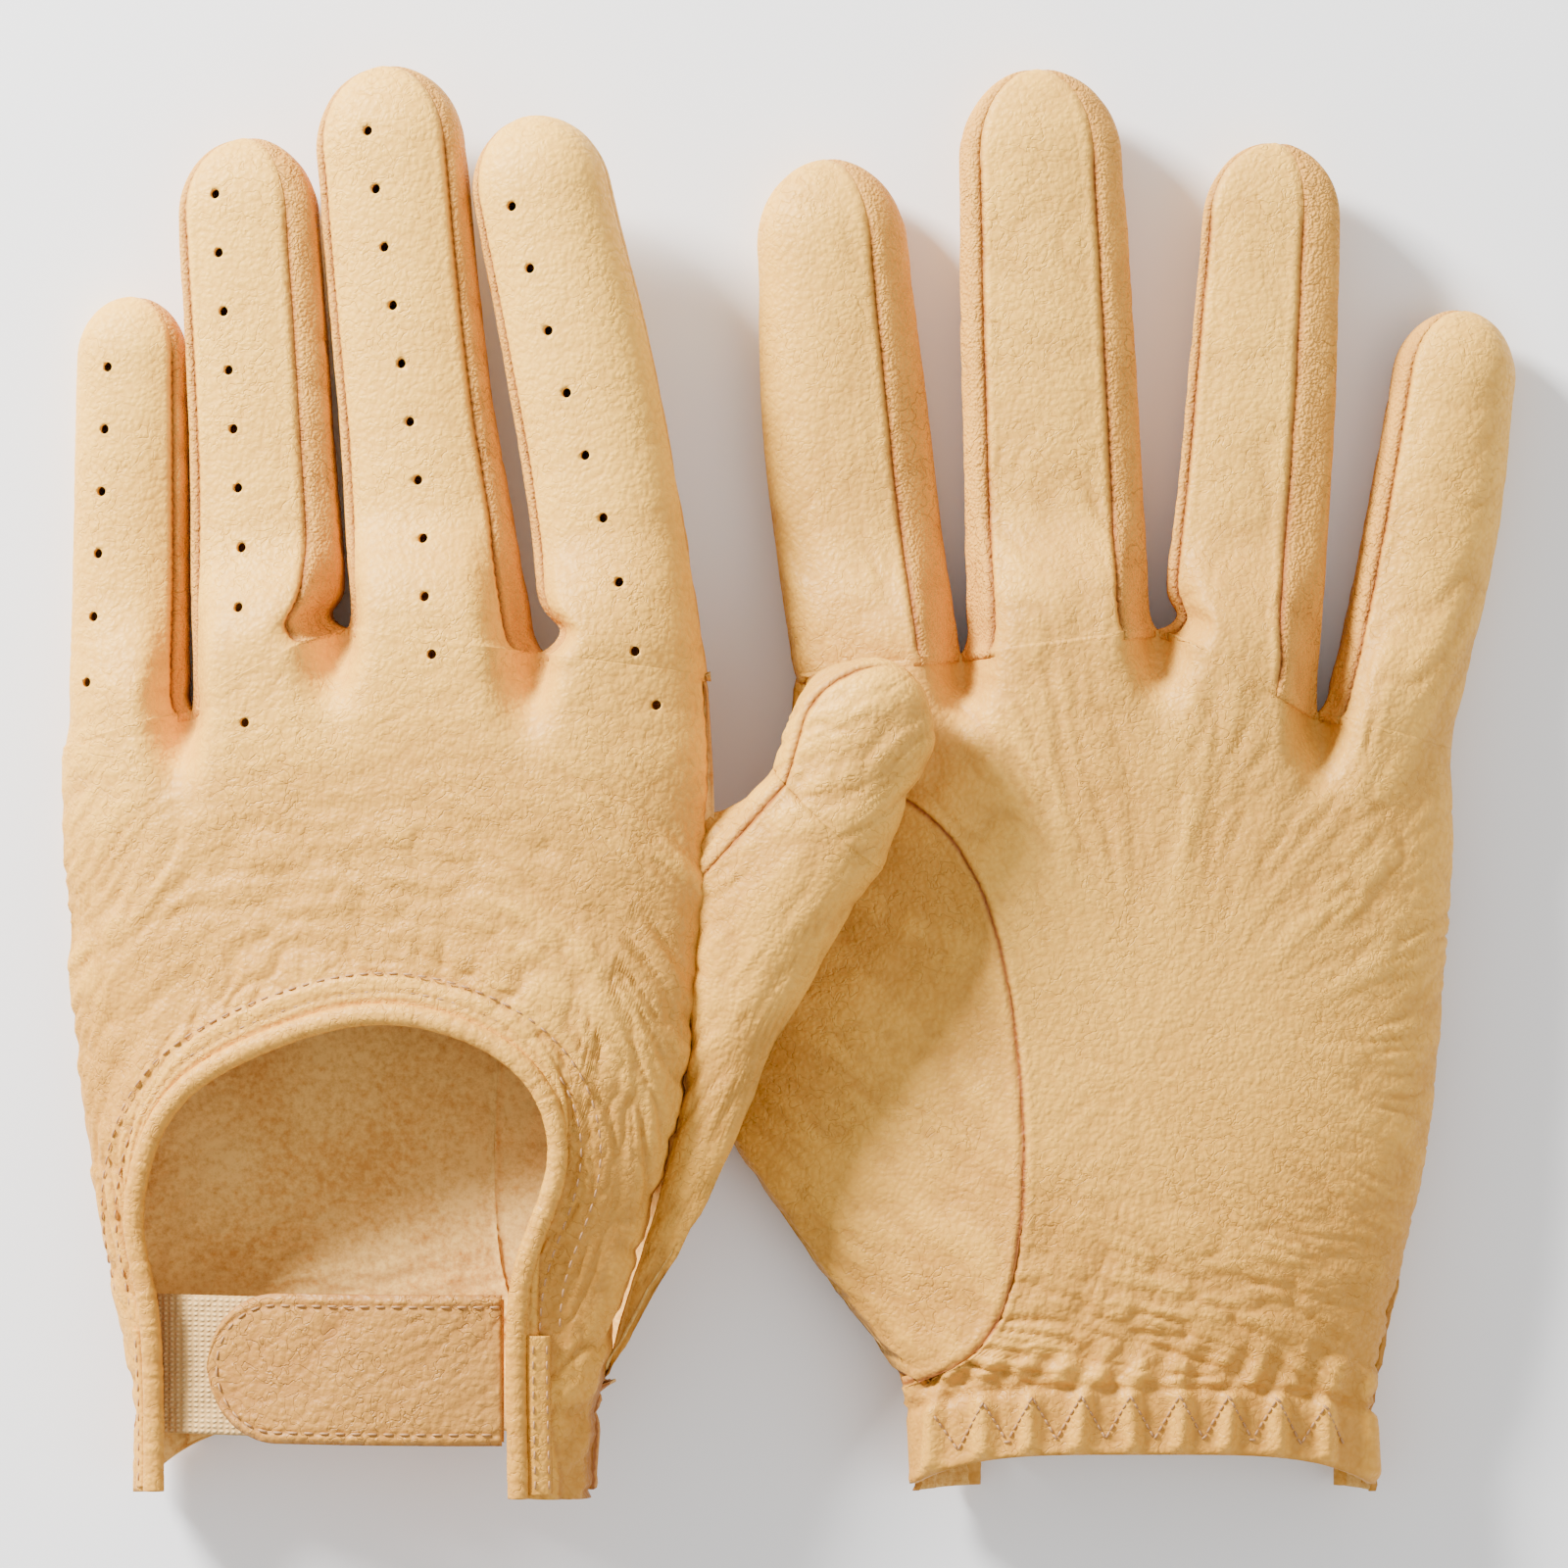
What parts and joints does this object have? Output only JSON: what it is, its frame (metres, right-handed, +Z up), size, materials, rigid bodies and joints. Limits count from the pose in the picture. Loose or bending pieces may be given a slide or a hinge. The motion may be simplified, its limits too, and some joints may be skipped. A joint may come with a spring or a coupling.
{
  "type": "leather gloves",
  "caption": "Unlined tan leather driving gloves with open backs, strap closures and punched fingers, one laid partly on the other.",
  "frame": {"origin": "centre of the bounding box of the two gloves in plan, at the height of the table they lie on", "axes": "+Y from the cuffs to the fingertips, +X from the upper glove to the lower glove, +Z up from the table"},
  "size_m": [0.2152, 0.211, 0.0354],
  "materials": {
    "leather": "semi-matt grain, tan",
    "suede": "napped flesh side",
    "tape": "woven loop tape, beige",
    "hook": "hook tape, light brown",
    "elastic": "knitted elastic"
  },
  "bodies": {
    "lower_glove": {"lower_hand_back": "leather", "lower_palm": "leather", "lower_opening_binding": "leather", "lower_placket_little_side": "leather", "lower_placket_thumb_side": "leather", "lower_wrist_elastic": "elastic", "lower_hem_facing": "suede", "lower_thumb_heel": "leather", "lower_thumb_quirk": "leather", "lower_closure_tape": "tape", "lower_thumb_outer": "leather", "lower_thumb_inner": "leather"},
    "upper_glove": {"upper_hand_back": "leather", "upper_palm": "leather", "upper_opening_binding": "leather", "upper_placket_little_side": "leather", "upper_placket_thumb_side": "leather", "upper_wrist_elastic": "elastic", "upper_hem_facing": "suede", "upper_thumb_heel": "leather", "upper_thumb_quirk": "leather", "upper_closure_tape": "tape"},
    "lower_little": {"lower_little_back": "leather", "lower_little_front": "leather", "lower_little_fourchette_by_ring": "leather"},
    "lower_ring": {"lower_ring_back": "leather", "lower_ring_front": "leather", "lower_ring_fourchette_by_little": "leather", "lower_ring_fourchette_by_middle": "leather"},
    "lower_middle": {"lower_middle_back": "leather", "lower_middle_front": "leather", "lower_middle_fourchette_by_ring": "leather", "lower_middle_fourchette_by_index": "leather"},
    "lower_index": {"lower_index_back": "leather", "lower_index_front": "leather", "lower_index_fourchette_by_middle": "leather"},
    "lower_tab": {"lower_tab_leather": "leather", "lower_tab_lining": "suede", "lower_tab_hook_patch": "hook"},
    "upper_little": {"upper_little_back": "leather", "upper_little_front": "leather", "upper_little_fourchette_by_ring": "leather"},
    "upper_ring": {"upper_ring_back": "leather", "upper_ring_front": "leather", "upper_ring_fourchette_by_little": "leather", "upper_ring_fourchette_by_middle": "leather"},
    "upper_middle": {"upper_middle_back": "leather", "upper_middle_front": "leather", "upper_middle_fourchette_by_ring": "leather", "upper_middle_fourchette_by_index": "leather"},
    "upper_index": {"upper_index_back": "leather", "upper_index_front": "leather", "upper_index_fourchette_by_middle": "leather"},
    "upper_tab": {"upper_tab_leather": "leather", "upper_tab_lining": "suede", "upper_tab_hook_patch": "hook"},
    "upper_thumb": {"upper_thumb_outer": "leather", "upper_thumb_inner": "leather"}
  },
  "joints": [
    {"name": "upper_lift", "type": "slide", "parent": "lower_glove", "child": "upper_glove", "axis": [0, 0, 1], "range_m": [0, 0.12]},
    {"name": "lower_little_bend", "type": "hinge", "parent": "lower_glove", "child": "lower_little", "pos_m": [0.08865, 0.0073, 0.01775], "axis": [0.9851, -0.1719, 0], "range_deg": [0, 35]},
    {"name": "lower_ring_bend", "type": "hinge", "parent": "lower_glove", "child": "lower_ring", "pos_m": [0.06679, 0.01615, 0.02144], "axis": [0.9976, -0.0698, 0], "range_deg": [0, 35]},
    {"name": "lower_middle_bend", "type": "hinge", "parent": "lower_glove", "child": "lower_middle", "pos_m": [0.04036, 0.02047, 0.02178], "axis": [0.9993, 0.0384, 0], "range_deg": [0, 35]},
    {"name": "lower_index_bend", "type": "hinge", "parent": "lower_glove", "child": "lower_index", "pos_m": [0.01348, 0.01707, 0.01894], "axis": [0.9959, 0.0906, 0], "range_deg": [0, 35]},
    {"name": "upper_little_bend", "type": "hinge", "parent": "upper_glove", "child": "upper_little", "pos_m": [-0.0994, 0.0073, 0.01546], "axis": [0.9816, -0.007, 0.1908], "range_deg": [0, 25]},
    {"name": "upper_ring_bend", "type": "hinge", "parent": "upper_glove", "child": "upper_ring", "pos_m": [-0.07865, 0.01615, 0.02326], "axis": [0.9801, 0.0558, 0.1905], "range_deg": [0, 25]},
    {"name": "upper_middle_bend", "type": "hinge", "parent": "upper_glove", "child": "upper_middle", "pos_m": [-0.05276, 0.02047, 0.02864], "axis": [0.9759, 0.108, 0.1897], "range_deg": [0, 25]},
    {"name": "upper_index_bend", "type": "hinge", "parent": "upper_glove", "child": "upper_index", "pos_m": [-0.02583, 0.01707, 0.03098], "axis": [0.9623, 0.1977, 0.187], "range_deg": [0, 25]},
    {"name": "upper_thumb_bend", "type": "hinge", "parent": "upper_glove", "child": "upper_thumb", "pos_m": [0.00059, -0.01486, 0.03331], "axis": [0.9057, -0.4239, 0], "range_deg": [0, 30]},
    {"name": "lower_tab_hinge", "type": "hinge", "parent": "lower_glove", "child": "lower_tab", "pos_m": [0.0296, -0.08631, 0.00134], "axis": [0, 1, 0], "range_deg": [0, 110]},
    {"name": "upper_tab_hinge", "type": "hinge", "parent": "upper_glove", "child": "upper_tab", "pos_m": [-0.04159, -0.08631, 0.0275], "axis": [0, 1, 0], "range_deg": [0, 110]}
  ]
}
